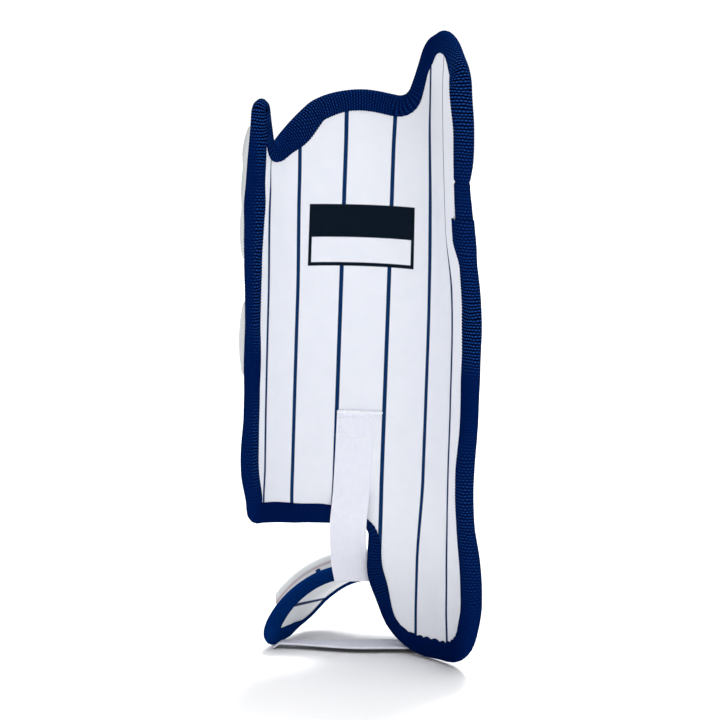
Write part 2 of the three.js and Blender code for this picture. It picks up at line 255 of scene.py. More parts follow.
# A pinch where the tape was sewn over twice: height on the right edge, reach along it, depth, and the edge
PINCH = {"z": 315.5, "reach": 1.8, "depth": 0.8, "edge": (95, 105)}
TAPE_OVERLAP = {"length": 13.0, "lift": 0.9, "widen": 6.2, "ease": 18.0}
# Gathers round the foot of the tongue: pitch, depth, where they are, and how unevenly they follow
PUCKER = {"pitch": 8.5, "depth": 1.3, "low": (8, 30), "side": (20, 45), "drift": 0.6, "drift_rate": 0.37}

# Printed cloth: pinstripes, and the bare name panel with its box
STRIPE_PITCH = 31.75
STRIPE_WIDTH = 2.7
STRIPE_SOFT = 0.2
STRIPE_STRETCH = 0.003
STRIPE_NAVY = "#022A58"
PRINT_SHIFT = 0.5
# The cloth is drawn in at the tongue and eased out at the top: from and to a height, and the share at each
PRINT_EASE = ((62.0, 122.0, 0.08, 0.0), (235.0, 315.0, 0.0, -0.035))
# Its middle stays in place: from and to a distance from the middle line
EASED_SIDES = (16, 44)
# Folds at the top of each wing swallow the outer stripes. Cloth stretched beside the peak shows them wider,
# and cloth drawn in on the tongue shows them narrower: sides, heights, what is hidden, and how far it slips
WingFold = namedtuple("WingFold", "from_s to_s from_z to_z hides slips")
WING_FOLDS = (
    WingFold(58, 68, 245, 285, 1.6, 6.0),
    WingFold(-58, -68, 292, 325, 0.9, 0.0),
    WingFold(30, 44, 225, 300, -0.45, 0.0),
    WingFold(30, 44, 130, 40, 0.32, 0.0),
)
NAME_PANEL = {"left": -39.7, "right": 34.1, "low": 254.4, "high": 294.2}
NAME_BOX = {"left": -37.2, "right": 31.5, "low": 256.8, "high": 273.0}
BOX_SOFT = 0.25
PANEL_NAVY = "#021120"
FOOT_STRIPE = -50.0
FOOT_COVER_STRIPE = -27.0
# Shares of the foot pad's rise over which its print ends, and over which the painted shade in the groove
# round it begins and ends
PAD_BARE = (0.42, 0.5)
PAD_GROOVE_SHADE = {"start": (0.46, 0.54), "end": (0.58, 0.7)}
# Threads of 0.45 mm are too fine for the render, so they are drawn this far apart
KNIT_THREAD = 1.5

# Elastic strap that carries the foot guard
STRAP_WIDTH = 24.0
STRAP_THICKNESS = 1.4
STRAP_EDGE = 0.35
STRAP_COURSE = {
    "z": (44.8, 55, 61, 73, 85, 103, 111, 135, 160),
    "centre": (-0.6, -2.8, -3.6, -4.6, -4.9, -3.8, -3.5, -3, -2.7),
    "back": (5.1, 5.1, 4.7, 0.4, -2.4, -1.7, -0.45, -0.35, -0.35),
    "curl": (0, 0, 0.1, 0.45, 0.9, 1, 1, 1, 1),
    "twist": (0.14, 0.14, 0.1, 0.03, 0, 0, 0, 0, 0),
}
STRAP_GRID = {"columns": 30, "rows": 150}
STRAP_HEM = {"height": 3.2, "rise": 0.6}
# Row of thread over the hem: its ends, its rise past the strap's end, and how its thread stands
HEM_ROW = {"left": -12.4, "right": 17.4, "lift": 0.6, "stand": 1.6, "thick": 2.7, "points": 40}
HEM_STITCH = {"length": 3.2, "gap": -1.2}
# Box of stitches: in from the sides, down to its top and its foot, and the stand and thickness of its thread
STRAP_BOX = {"side": 2.2, "top": 4.4, "low": 18, "stand": 0.1, "thick": 0.9}
BOX_STITCH = {"length": 2.4, "gap": 0.9}
# Spacing of the ribs along the elastic and of the threads across it, drawn as coarse as they need to show
ELASTIC_RIB = 1.5
ELASTIC_PICK = 1.3

# Flat strap under the foot
SOLE_STRAP_THICKNESS = 1.8
SOLE_STRAP_WIDTH = 20.0
SOLE_STRAP_MIDDLE = -2.0
SOLE_STRAP_SLEW = math.radians(9.1)
SOLE_STRAP_BOW = {"height": 2.7, "ease": 4.5}
SOLE_STRAP_TAPER = {"width": 13.0, "length": 60.0}
SOLE_STRAP_GRID = {"columns": 120, "rows": 20}
# Painted shade: near-black colour on the underfoot strap's face towards the floor
SOLE_STRAP_PAINTED_SHADE = "#1A1C22"
SOLE_STRAP_LENGTH = 2 * FOOT_HALF_WIDTH + PANEL_THICKNESS

# Camera, fitted to the photograph's 720 by 720 frame
PHOTO_SIDE = 720
CAMERA_FOCAL_PIXELS = 2384.6
CAMERA_PLACE = (-1.03, -1535.4, 405.0)
CAMERA_AIM = (-1.03, 0.0, 193.0)
CAMERA_ROLL = math.radians(2.06)
SENSOR_WIDTH = 36.0

# Sky of the studio: tone by the height of the direction, from level to straight up
SKY = ((0.0, 0.62), (0.02, 0.62), (0.04, 0.09), (0.45, 0.09), (0.75, 0.85), (1.0, 0.9))
SKY_STRENGTH = 1.76
# Lights and floor of the studio, in metres
BACK_LIGHT = {"towards": (0.16, 0.62, 1.0), "strength": 2.3, "softness": 22}
FRONT_LIGHT = {"place": (0.6, -1.75, 0.35), "aim": (0, 0, 0.12), "size": 0.9, "power": 4.6}
FLOOR_HALF = 6.0

# The drawing's origin in the frame, from the strap that lies on the floor
sole_low, sole_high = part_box("underfoot_strap")
DRAWING_ORIGIN = np.array(
    [
        (sole_low.x + sole_high.x) / 2 - FOOT_X * MM,
        (sole_low.y + sole_high.y) / 2 - SOLE_STRAP_MIDDLE * MM,
        0.0,
    ]
)


def framed(points):
    """Points of the drawing, in millimetres, as metres in the frame."""
    return np.asarray(points, float) * MM + DRAWING_ORIGIN


def smooth_step(value, start, end):
    """0 before start and 1 after end, with a soft change between them."""
    t = np.clip((value - start) / (end - start), 0, 1)
    return t * t * (3 - 2 * t)


def table_curve(table, column):
    """A smooth curve through one column of a table, by height."""
    places = np.array(table["z"], float)
    values = np.array(table[column], float)
    secants = np.diff(values) / np.diff(places)
    slopes = np.concatenate((secants[:1], (secants[1:] + secants[:-1]) / 2, secants[-1:]))

    def at(z):
        i = np.clip(np.searchsorted(places, z) - 1, 0, len(places) - 2)
        step = places[i + 1] - places[i]
        t = (z - places[i]) / step
        start = (1 + 2 * t) * (1 - t) ** 2 * values[i] + t * (1 - t) ** 2 * step * slopes[i]
        end = t * t * (3 - 2 * t) * values[i + 1] + t * t * (t - 1) * step * slopes[i + 1]
        return start + end

    return at


left_radius = table_curve(SHIN_SECTIONS, "left_radius")
right_radius = table_curve(SHIN_SECTIONS, "right_radius")
left_turn = table_curve(SHIN_SECTIONS, "left_turn")
right_turn = table_curve(SHIN_SECTIONS, "right_turn")


def shin_place(s, z, depth):
    """Points of the shin panel, at a depth out from the face of its lining."""
    radius = np.where(s < 0, left_radius(z), right_radius(z))
    wing = np.radians(np.where(s < 0, left_turn(z), right_turn(z)))
    turn = np.minimum(np.abs(s) / radius, wing)
    straight = np.abs(s) - radius * turn
    across = (radius + depth) * np.sin(turn) + straight * np.cos(turn)
    back = depth * np.cos(turn) - radius * (1 - np.cos(turn)) - straight * np.sin(turn)
    return np.stack((np.sign(s) * across, back, z + 0 * s), -1)


def foot_place(s, along, depth):
    """Points of the foot guard, at a depth out from the face of its lining."""
    turn = s / FOOT_HALF_WIDTH
    half_width = FOOT_HALF_WIDTH - FOOT_WIDTH_TAPER * along + depth
    height = FOOT_HEIGHT - FOOT_HEIGHT_TAPER * along + depth
    x = FOOT_X + FOOT_SKEW * along + half_width * np.sin(turn)
    return np.stack((x, FOOT_Y + along, FOOT_LIFT + height * np.cos(turn)), -1)


def rounded_outline(corners, spacing=0.4):
    """Closed outline through the corners, each rounded to an arc, as points at even spacing."""
    points = []
    for i, corner in enumerate(corners):
        here = Vector((corner.s, corner.z))
        before = (Vector(corners[i - 1][:2]) - here).normalized()
        after = (Vector(corners[(i + 1) % len(corners)][:2]) - here).normalized()
        half = before.angle(after) / 2
        inwards = (before + after).normalized()
        centre = here + inwards * (corner.round / math.sin(half))
        start = (here + before * (corner.round / math.tan(half))) - centre
        sweep = (math.pi - 2 * half) * (-1 if before.cross(after) > 0 else 1)
        steps = max(2, math.ceil(abs(sweep) * corner.round / spacing))
        for k in range(steps + 1):
            points.append(centre + Matrix.Rotation(sweep * k / steps, 2) @ start)
    loop = np.array([tuple(point) for point in points])
    return resampled(np.vstack((loop, loop[:1])), spacing)


def running(steps):
    """Length travelled at each point of a line, from the steps between its points."""
    return np.concatenate(([0], np.cumsum(steps)))


def resampled(line, spacing):
    """An open or closed line with its points moved to even spacing, without its repeated end."""
    travel = running(np.linalg.norm(np.diff(line, axis=0), axis=1))
    count = round(travel[-1] / spacing)
    even = np.arange(count) * travel[-1] / count
    return np.stack([np.interp(even, travel, line[:, k]) for k in range(line.shape[1])], -1)


def inward_normals(loop):
    """The way into a clockwise loop at each of its points."""
    along = np.roll(loop, -2, axis=0) - np.roll(loop, 2, axis=0)
    along /= np.linalg.norm(along, axis=1, keepdims=True)
    return np.stack((along[:, 1], -along[:, 0]), -1)


def free_depth(loop, normals, most):
    """How far each point can move in before it comes nearer to another part of the loop."""
    least = 1e-3
    sparse = loop[::3]
    free = np.full(len(loop), most)
    for i, (point, normal) in enumerate(zip(loop, normals)):
        offset = sparse - point
        ahead = offset @ normal
        facing = ahead > least
        if facing.any():
            free[i] = min(most, ((offset[facing] ** 2).sum(1) / (2 * ahead[facing])).min())
    return free


def loop_smoothed(values, width):
    """Values round a loop, averaged over a window."""
    window = np.hanning(width + 2)[1:-1]
    wide = np.concatenate((values[-width:], values, values[:width]))
    return np.convolve(wide, window / window.sum(), "same")[width:-width]


def outline_span(loop, s):
    """Lowest and highest point of a loop at one place along it."""
    following = np.roll(loop, -1, axis=0)
    low = np.minimum(loop[:, 0], following[:, 0])
    high = np.maximum(loop[:, 0], following[:, 0])
    crossed = (low <= s) & (s <= high) & (high > low)
    a, b = loop[crossed], following[crossed]
    heights = a[:, 1] + (s - a[:, 0]) / (b[:, 0] - a[:, 0]) * (b[:, 1] - a[:, 1])
    return heights.min(), heights.max()


def fitted_grid(loop, columns, rows):
    """Places and heights of a grid that fills a loop, with closer columns where the loop is steep."""
    margin = 0.02
    trials = 600
    steepness = 0.6
    trial = np.linspace(loop[:, 0].min() + margin, loop[:, 0].max() - margin, trials)
    spans = np.array([outline_span(loop, s) for s in trial])
    climb = np.abs(np.diff(spans, axis=0)).max(1)
    travel = running(np.hypot(np.diff(trial), climb * steepness))
    places = np.interp(np.linspace(0, travel[-1], columns + 1), travel, trial)
    ends = np.array([outline_span(loop, s) for s in places])
    share = np.linspace(0, 1, rows + 1)
    heights = ends[:, :1] + (ends[:, 1:] - ends[:, :1]) * share
    return np.repeat(places[:, None], rows + 1, axis=1), heights


def edge_distance(loop, s, z):
    """Distance of each grid point from a loop, over its nearest points."""
    points = np.stack((s.ravel(), z.ravel()), -1)
    nearest = np.full(len(points), np.inf)
    parts = 12
    for part in np.array_split(loop[::4], parts):
        gap = points[:, None, :] - part[None]
        nearest = np.minimum(nearest, (gap**2).sum(2).min(1))
    return np.sqrt(nearest).reshape(s.shape)


def grid_mesh(points, flat):
    """A grid that takes its place from an array of points, with its flat pattern kept as an attribute."""
    along = points.shape[0] - 1
    across = points.shape[1] - 1
    bm = bmesh.new()
    bmesh.ops.create_grid(bm, x_segments=along, y_segments=across, size=0.5)
    pattern = bm.verts.layers.float_vector.new("flat")
    cell = bm.verts.layers.int.new("cell")
    placed = framed(points)
    for vert in bm.verts:
        i = round((vert.co.x + 0.5) * along)
        j = round((vert.co.y + 0.5) * across)
        vert.co = placed[i, j]
        vert[pattern] = (*flat[i, j], 0)[:3]
        vert[cell] = i * (across + 1) + j
    return bm


def layer_mesh(near, far, flat, far_mark=0):
    """A closed layer between two grids of points, with its far face marked in the flat pattern."""
    bm = grid_mesh(near, flat)
    cell = bm.verts.layers.int["cell"]
    pattern = bm.verts.layers.float_vector["flat"]
    placed = framed(far).reshape(-1, 3)
    grown = bmesh.ops.extrude_face_region(bm, geom=bm.faces[:])
    for item in grown["geom"]:
        if isinstance(item, bmesh.types.BMVert):
            item.co = placed[item[cell]]
            item[pattern] += Vector((0, 0, far_mark))
    bmesh.ops.recalc_face_normals(bm, faces=bm.faces[:])
    return bm


def piece(name, bm, material, slot, *nodes):
    """A finished piece that rides with the guard and stands for its CAD nodes."""
    mesh = bpy.data.meshes.new(name)
    for face in bm.faces:
        face.smooth = True
    bm.to_mesh(mesh)
    bm.free()
    if "cell" in mesh.attributes:
        mesh.attributes.remove(mesh.attributes["cell"])
    made = bpy.data.objects.new(name, mesh)
    bpy.context.scene.collection.objects.link(made)
    mesh.materials.append(material)
    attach(made, BODY)
    if nodes:
        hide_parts(*nodes)
    return made


def linear(hex_colour):
    """An sRGB hex colour as linear red, green, blue and alpha."""
    shares = [int(hex_colour[i : i + 2], 16) / 255 for i in (1, 3, 5)]
    return tuple(c / 12.92 if c <= 0.04045 else ((c + 0.055) / 1.055) ** 2.4 for c in shares) + (1.0,)


def add(tree, kind, feeds=None, **settings):
    """A node with its settings, and its inputs fed from sockets, nodes or plain values."""
    node = tree.nodes.new(kind)
    for name, value in settings.items():
        setattr(node, name, value)
    for socket, source in (feeds or {}).items():
        if isinstance(source, bpy.types.Node):
            source = source.outputs[0]
        if isinstance(source, bpy.types.NodeSocket):
            tree.links.new(source, node.inputs[socket])
        else:
            node.inputs[socket].default_value = source
    return node


def new_material(name):
    """An empty node material and its tree."""
    material = bpy.data.materials.new(name)
    material.use_nodes = True
    material.node_tree.nodes.clear()
    return material, material.node_tree


# Settings of a Map Range node whose change is soft at both ends
SOFT_CHANGE = {"interpolation_type": "SMOOTHSTEP"}


def flat_axes(tree):
    """The three values of a piece's flat pattern, of which two are millimetres, and the pattern itself."""
    pattern = add(tree, "ShaderNodeAttribute", attribute_name="flat").outputs["Vector"]
    axes = add(tree, "ShaderNodeSeparateXYZ", {0: pattern})
    return *axes.outputs, pattern


def box_mask(tree, s, z, box):
    """1 inside an upright box of the flat pattern and 0 outside it."""
    reach = []
    for axis, low, high in ((s, box["left"], box["right"]), (z, box["low"], box["high"])):
        offset = add(tree, "ShaderNodeMath", {0: axis, 1: (low + high) / 2}, operation="SUBTRACT")
        size = add(tree, "ShaderNodeMath", {0: offset}, operation="ABSOLUTE")
        reach.append(add(tree, "ShaderNodeMath", {0: size, 1: (high - low) / 2}, operation="SUBTRACT"))
    outside = add(tree, "ShaderNodeMath", {0: reach[0], 1: reach[1]}, operation="MAXIMUM")
    edge = {"Value": outside, "From Min": BOX_SOFT, "From Max": -BOX_SOFT}
    return add(tree, "ShaderNodeMapRange", edge, **SOFT_CHANGE)


def stripe_mask(tree, s, first, hidden):
    """1 on the pinstripes and 0 between them, less what is hidden of their half width."""
    shifted = add(tree, "ShaderNodeMath", {0: s, 1: first}, operation="SUBTRACT")
    distance = add(tree, "ShaderNodeMath", {0: shifted, 1: STRIPE_PITCH / 2}, operation="PINGPONG")
    # The cloth is stretched more towards the wings, which widens its stripes there
    away = add(tree, "ShaderNodeMath", {0: s}, operation="ABSOLUTE")
    stretch = {0: away, 1: -STRIPE_STRETCH, 2: distance}
    nearer = add(tree, "ShaderNodeMath", stretch, operation="MULTIPLY_ADD")
    left_over = add(tree, "ShaderNodeMath", {0: nearer, 1: hidden}, operation="ADD")
    half = STRIPE_WIDTH / 2
    edge = {"Value": left_over, "From Min": half + STRIPE_SOFT, "From Max": half - STRIPE_SOFT}
    return add(tree, "ShaderNodeMapRange", edge, **SOFT_CHANGE)


def shin_print(tree, s, z):
    """Where the shin's print has moved to, and how much of its stripes the folds of the cloth hide."""
    moved = s
    hidden = 0.0
    away = add(tree, "ShaderNodeMath", {0: s}, operation="ABSOLUTE")
    sides = {"Value": away, "From Min": EASED_SIDES[0], "From Max": EASED_SIDES[1]}
    aside = add(tree, "ShaderNodeMapRange", sides, **SOFT_CHANGE)
    eased = add(tree, "ShaderNodeMath", {0: s, 1: aside}, operation="MULTIPLY")
    for start, end, low, high in PRINT_EASE:
        heights = {"Value": z, "From Min": start, "From Max": end, "To Min": low, "To Max": high}
        share = add(tree, "ShaderNodeMapRange", heights, **SOFT_CHANGE)
        moved = add(tree, "ShaderNodeMath", {0: share, 1: eased, 2: moved}, operation="MULTIPLY_ADD")
    for fold in WING_FOLDS:
        across = {"Value": s, "From Min": fold.from_s, "From Max": fold.to_s}
        side = add(tree, "ShaderNodeMapRange", across, **SOFT_CHANGE)
        upwards = {"Value": z, "From Min": fold.from_z, "From Max": fold.to_z}
        rise = add(tree, "ShaderNodeMapRange", upwards, **SOFT_CHANGE)
        depth = add(tree, "ShaderNodeMath", {0: side, 1: rise}, operation="MULTIPLY")
        hidden = add(tree, "ShaderNodeMath", {0: depth, 1: fold.hides, 2: hidden}, operation="MULTIPLY_ADD")
        moved = add(tree, "ShaderNodeMath", {0: depth, 1: fold.slips, 2: moved}, operation="MULTIPLY_ADD")
    return moved, hidden


def pad_groove_shade(tree, on_pad):
    """1 in the groove round a pad, where painted shade goes, and 0 off it."""
    start, end = PAD_GROOVE_SHADE["start"], PAD_GROOVE_SHADE["end"]
    begins = {"Value": on_pad, "From Min": start[0], "From Max": start[1]}
    ends = {"Value": on_pad, "From Min": end[0], "From Max": end[1], "To Min": 1.0, "To Max": 0.0}
    begun = add(tree, "ShaderNodeMapRange", begins, **SOFT_CHANGE)
    not_ended = add(tree, "ShaderNodeMapRange", ends, **SOFT_CHANGE)
    return add(tree, "ShaderNodeMath", {0: begun, 1: not_ended}, operation="MULTIPLY")


def weave_height(tree, s, z, pitch):
    """Height of a plain weave with that thread spacing, from 0 to 1."""
    waves = []
    for axis in (s, z):
        angle = add(tree, "ShaderNodeMath", {0: axis, 1: 2 * math.pi / pitch}, operation="MULTIPLY")
        waves.append(add(tree, "ShaderNodeMath", {0: angle}, operation="SINE"))
    crossed = add(tree, "ShaderNodeMath", {0: waves[0], 1: waves[1]}, operation="MULTIPLY")
    return add(tree, "ShaderNodeMath", {0: crossed, 1: 0.5, 2: 0.5}, operation="MULTIPLY_ADD")


def printed_knit(name, white, first_stripe, name_panel=False, groove_shade=None):
    """Polyester knit, dye-printed with navy pinstripes: matt, close and slightly cool."""
    material, tree = new_material(name)
    s, z, on_pad, pattern = flat_axes(tree)
    mottle = add(tree, "ShaderNodeTexNoise", {"Vector": pattern, "Scale": 0.09, "Detail": 3.0})
    whites = {"Factor": mottle.outputs["Fac"], "A": linear(white[0]), "B": linear(white[1])}
    cloth = add(tree, "ShaderNodeMix", whites, data_type="RGBA").outputs["Result"]
    if name_panel:
        moved, hidden = shin_print(tree, s, z)
    else:
        moved = s
        bare = {"Value": on_pad, "From Min": PAD_BARE[0], "From Max": PAD_BARE[1], "To Max": STRIPE_WIDTH}
        hidden = add(tree, "ShaderNodeMapRange", bare, **SOFT_CHANGE)
    inks = [(stripe_mask(tree, moved, first_stripe, hidden), linear(STRIPE_NAVY))]
    if groove_shade:
        # Painted shade: a mauve-grey line in the groove at the foot of the pad's flank
        inks.append((pad_groove_shade(tree, on_pad), linear(groove_shade)))
    if name_panel:
        inks.append((box_mask(tree, s, z, NAME_PANEL), linear(PANEL_NAVY)))
        inks.append((box_mask(tree, s, z, NAME_BOX), cloth))
    colour = cloth
    for mask, ink in inks:
        over = add(tree, "ShaderNodeMix", {"Factor": mask, "A": colour, "B": ink}, data_type="RGBA")
        colour = over.outputs["Result"]
    weave = weave_height(tree, s, z, KNIT_THREAD)
    threads = add(tree, "ShaderNodeBump", {"Height": weave, "Strength": 0.12, "Distance": 0.0002})
    dents = add(tree, "ShaderNodeTexNoise", {"Vector": pattern, "Scale": 0.035, "Detail": 2.0})
    relief = add(
        tree,
        "ShaderNodeBump",
        {"Height": dents.outputs["Fac"], "Strength": 0.5, "Distance": 0.0012, "Normal": threads},
    )
    shader = add(
        tree,
        "ShaderNodeBsdfPrincipled",
        {
            "Base Color": colour,
            "Normal": relief,
            "Roughness": 0.78,
            "IOR": 1.46,
            "Specular IOR Level": 0.08,
            "Sheen Weight": 0.03,
            "Sheen Roughness": 0.5,
        },
    )
    add(tree, "ShaderNodeOutputMaterial", {"Surface": shader})
    return material


def woven_tape(name, plain, valley, crest_highlight):
    """Polyester binding tape in a ribbed weave: dull navy, with a painted highlight of bright blue on the
    rib crests where its ribs are marked to stand out.
    """
    material, tree = new_material(name)
    along, across, ribs_and_highlight, pattern = flat_axes(tree)
    # Each rib shifts a little across the tape, as a woven rib does
    wander = add(tree, "ShaderNodeTexNoise", {"Vector": pattern, "Scale": 0.12, "Detail": 2.0})
    shift = {0: wander.outputs["Fac"], 1: RIB_WANDER, 2: along}
    swayed = add(tree, "ShaderNodeMath", shift, operation="MULTIPLY_ADD")
    rib = add(tree, "ShaderNodeMath", {0: swayed, 1: 2 * math.pi / RIB_PITCH}, operation="MULTIPLY")
    wave = add(tree, "ShaderNodeMath", {0: rib}, operation="COSINE")
    # A thread that floats over one rib passes under the next
    half_rib = add(tree, "ShaderNodeMath", {0: rib, 1: 0.5}, operation="MULTIPLY")
    flip = add(tree, "ShaderNodeMath", {0: half_rib}, operation="COSINE")
    thread = add(tree, "ShaderNodeMath", {0: across, 1: 2 * math.pi / FLOAT_PITCH}, operation="MULTIPLY")
    float_wave = add(tree, "ShaderNodeMath", {0: thread}, operation="COSINE")
    turned = add(tree, "ShaderNodeMath", {0: float_wave, 1: flip}, operation="MULTIPLY")
    dash = add(tree, "ShaderNodeMath", {0: turned, 1: 0.42, 2: 0.58}, operation="MULTIPLY_ADD")
    crown = {"Value": wave, "From Min": -0.5, "From Max": 0.95}
    height = add(tree, "ShaderNodeMapRange", crown, **SOFT_CHANGE)
    raised = add(tree, "ShaderNodeMath", {0: dash, 1: height}, operation="MULTIPLY")
    # Painted highlight: the rib crests are mixed towards a bright blue where the ribs are marked to show
    blues = {"Factor": raised, "A": linear(valley), "B": linear(crest_highlight)}
    ribbed = add(tree, "ShaderNodeMix", blues, data_type="RGBA").outputs["Result"]
    grain = add(tree, "ShaderNodeTexNoise", {"Vector": pattern, "Scale": 0.7, "Detail": 4.0})
    navies = {"Factor": grain.outputs["Fac"], "A": linear(plain[0]), "B": linear(plain[1])}
    dull = add(tree, "ShaderNodeMix", navies, data_type="RGBA").outputs["Result"]
    colour = add(tree, "ShaderNodeMix", {"Factor": ribs_and_highlight, "A": dull, "B": ribbed}, data_type="RGBA")
    standing = add(tree, "ShaderNodeMath", {0: raised, 1: ribs_and_highlight}, operation="MULTIPLY")
    relief = add(tree, "ShaderNodeBump", {"Height": standing, "Strength": 0.5, "Distance": 0.0003})
    shader = add(
        tree,
        "ShaderNodeBsdfPrincipled",
        {
            "Base Color": colour.outputs["Result"],
            "Normal": relief,
            "Roughness": 0.6,
            "IOR": 1.45,
            "Specular IOR Level": 0.0,
        },
    )
    add(tree, "ShaderNodeOutputMaterial", {"Surface": shader})
    return material


def ribbed_elastic():
    """Woven elastic: white with a trace of lavender, fine ribs along its length and a soft sheen."""
    material, tree = new_material("ribbed white elastic")
    across, along, under, pattern = flat_axes(tree)
    rib = add(tree, "ShaderNodeMath", {0: across, 1: 2 * math.pi / ELASTIC_RIB}, operation="MULTIPLY")
    ribs_and_highlight_at = add(tree, "ShaderNodeMath", {0: rib}, operation="COSINE")
    pick = add(tree, "ShaderNodeMath", {0: along, 1: 2 * math.pi / ELASTIC_PICK}, operation="MULTIPLY")
    picks = add(tree, "ShaderNodeMath", {0: pick}, operation="SINE")
    height = add(tree, "ShaderNodeMath", {0: picks, 1: 0.35, 2: ribs_and_highlight_at}, operation="MULTIPLY_ADD")
    mottle = add(tree, "ShaderNodeTexNoise", {"Vector": pattern, "Scale": 0.2, "Detail": 4.0})
    whites = {"Factor": mottle.outputs["Fac"], "A": linear("#E4E6F2"), "B": linear("#EFF0F8")}
    colour = add(tree, "ShaderNodeMix", whites, data_type="RGBA").outputs["Result"]
    # The strap under the foot has painted shade: its face towards the floor is coloured near black to stand
    # in for the shadow beneath it
    painted_shade_span = {"Value": under, "From Min": 0.7, "From Max": 0.85}
    painted_shade_share = add(tree, "ShaderNodeMapRange", painted_shade_span, **SOFT_CHANGE)
    faces = {"Factor": painted_shade_share, "A": colour, "B": linear(SOLE_STRAP_PAINTED_SHADE)}
    colour_with_painted_shade = add(tree, "ShaderNodeMix", faces, data_type="RGBA").outputs["Result"]
    relief = add(tree, "ShaderNodeBump", {"Height": height, "Strength": 0.25, "Distance": 0.0002})
    shader = add(
        tree,
        "ShaderNodeBsdfPrincipled",
        {
            "Base Color": colour_with_painted_shade,
            "Normal": relief,
            "Roughness": 0.7,
            "Specular IOR Level": 0.35,
            "Sheen Weight": 0.2,
            "Sheen Roughness": 0.4,
        },
    )
    add(tree, "ShaderNodeOutputMaterial", {"Surface": shader})
    return material


def sewing_thread():
    """Twisted polyester sewing thread: white, with a slight gloss."""
    material, tree = new_material("white sewing thread")
    place = add(tree, "ShaderNodeTexCoord").outputs["Object"]
    twist = add(tree, "ShaderNodeTexNoise", {"Vector": place, "Scale": 1800.0, "Detail": 1.0}).outputs["Fac"]
    relief = add(tree, "ShaderNodeBump", {"Height": twist, "Strength": 0.3, "Distance": 0.0001})
    shader = add(
        tree,
        "ShaderNodeBsdfPrincipled",
        {"Base Color": linear("#F4F5FA"), "Normal": relief, "Roughness": 0.45, "Specular IOR Level": 0.5},
    )
    add(tree, "ShaderNodeOutputMaterial", {"Surface": shader})
    return material


def panel_layer(loop, grid, rows, place, near, far, bare=None):
    """A layer of a panel between two depths that may change over it, with a note of where it is bare."""
    s, z = fitted_grid(loop, grid["columns"], grid[rows])
    flat = np.stack((s, z, bare(s, z) if bare else 0 * s), -1)
    return layer_mesh(place(s, z, near(s, z)), place(s, z, far(s, z)), flat)


def pad_rise(pad, s, z):
    """Rise of one moulded pad: a slightly domed top with a soft flank and round corners."""
    half_wide = (pad.right - pad.left) / 2
    half_high = (pad.high - pad.low) / 2
    corner = min(PAD_ROUND, half_wide, half_high)
    out_s = np.abs(s - (pad.left + pad.right) / 2) - half_wide + corner
    out_z = np.abs(z - (pad.low + pad.high) / 2) - half_high + corner
    outside = np.hypot(np.maximum(out_s, 0), np.maximum(out_z, 0)) - corner
    inside = np.minimum(np.maximum(out_s, out_z), 0)
    depth_in = -(outside + inside)
    dome = 1 - PAD_DOME * np.clip((z - (pad.low + pad.high) / 2) / half_high, -1, 1) ** 2
    flank = smooth_step(depth_in, 0, min(PAD_FLANK, half_wide))
    return pad.rise * dome * flank + PAD_CROWN * np.maximum(depth_in, 0)


def shin_shell_face(s, z):
    """Depth of the outer face of the shin panel with its pads."""
    rise = np.max([pad_rise(pad, s, z) for pad in SHIN_PADS], axis=0)
    return PANEL_THICKNESS - COVER_SUNK + rise


def foot_pad_share(s, along):
    """Share of the foot pad's full rise, from 0 on its border to 1 on its crown."""
    inside = edge_distance(foot_loop, s, along) - FOOT_PAD["border"]
    spread = np.minimum(s - FOOT_PAD["left"], FOOT_PAD["right"] - s)
    return smooth_step(np.minimum(inside, spread), 0, FOOT_PAD["flank"])


def foot_shell_face(s, along):
    """Depth of the outer face of the foot guard with its pad."""
    return PANEL_THICKNESS - COVER_SUNK + FOOT_PAD["rise"] * foot_pad_share(s, along)


def shin_flap(spots):
    """Width of the shin tape's flaps, narrower on the inner flank of the tongue."""
    from_flank = np.abs(spots[:, 0] - TONGUE_FLANK["s"])
    near_flank = 1 - smooth_step(from_flank, TONGUE_FLANK["start"], TONGUE_FLANK["end"])
    low = spots[:, 1] < PAD_BANDS[0][0]
    wide = 0
    for spread in WIDE_FLAPS:
        away = np.hypot(spots[:, 0] - spread.s, spots[:, 1] - spread.z)
        wide = wide + spread.extra * (1 - smooth_step(away, 0, spread.reach))
    return SHIN_FLAP - (SHIN_FLAP - TONGUE_FLAP) * near_flank * low + wide


def foot_flap(spots):
    """Width of the foot tape's flaps."""
    return np.full(len(spots), FOOT_FLAP)


def foot_near_share(spots):
    """Share of the foot tape's flap that is turned to the inside, which is small along the toes."""
    return 1 - TURNED_OUT["share"] * smooth_step(spots[:, 1], TURNED_OUT["start"], TURNED_OUT["end"])


def shin_swell(spots):
    """Extra thickness of the shin tape towards and away from the calf."""
    s, z = spots.T
    on_right = smooth_step(s, *SWELL_EDGES["right"])
    on_left = smooth_step(-s, *SWELL_EDGES["left"])
    return [
        table_curve(RIGHT_SWELL, column)(z) * on_right + table_curve(LEFT_SWELL, column)(z) * on_left
        for column in ("near", "far")
    ]


